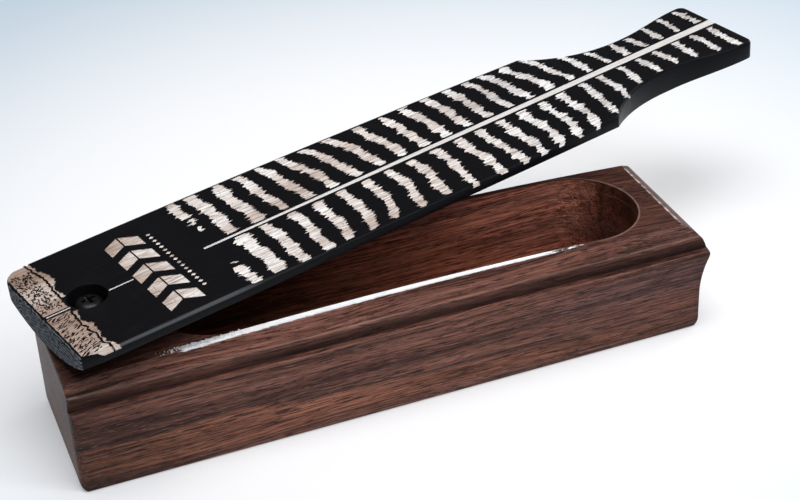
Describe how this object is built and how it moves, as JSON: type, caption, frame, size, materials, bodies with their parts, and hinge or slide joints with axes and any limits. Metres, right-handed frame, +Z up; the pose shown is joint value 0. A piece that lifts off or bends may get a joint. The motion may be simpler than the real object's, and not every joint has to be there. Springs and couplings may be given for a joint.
{
  "type": "turkey box call",
  "caption": "Hollowed wooden sound box with arched lips and a black crowned paddle lid that swings on a sprung screw to scrape them.",
  "frame": {"origin": "centre of the sound box's flat underside", "axes": "+X along the box towards the end that the lid's handle overhangs, +Y to the side the lid is swung towards, +Z up"},
  "size_m": [0.2471, 0.0976, 0.0573],
  "materials": {
    "walnut": "hand-rubbed satin walnut",
    "black_lacquer": "satin black lacquer on wood",
    "black_steel": "black oxide, slightly glossy",
    "zinc": "zinc plated",
    "spring_steel": "bright drawn wire"
  },
  "bodies": {
    "box": {"box_body": "walnut", "pivot_spring": "spring_steel"},
    "head_washer": {"head_washer": "black_steel"},
    "screw": {"pivot_screw": "black_steel"},
    "spring_washer": {"spring_washer": "zinc"},
    "lid": {"lid": "black_lacquer"}
  },
  "joints": [
    {"name": "screw_depth", "type": "slide", "parent": "box", "child": "head_washer", "axis": [0, 0, 1], "range_m": [-0.00014, 0.0017], "deforming": ["pivot_spring"]},
    {"name": "screw_turn", "type": "hinge", "parent": "head_washer", "child": "screw", "pos_m": [-0.0816, 0, 0.0437], "axis": [0, 0, 1], "range_deg": [-30, 360]},
    {"name": "lid_swing", "type": "hinge", "parent": "head_washer", "child": "spring_washer", "pos_m": [-0.0816, 0, 0.0422], "axis": [0, 0, 1], "continuous": true},
    {"name": "lid_tilt", "type": "hinge", "parent": "spring_washer", "child": "lid", "pos_m": [-0.0816, 0, 0.0422], "axis": [-0.2373, 0.9714, 0], "range_deg": [-2, 2.5], "stiffness_Nm_per_rad": 3, "springref_deg": -1.15}
  ],
  "couplings": [
    {"joint": "screw_turn", "follows": "screw_depth", "rad_per_m": 3696}
  ]
}
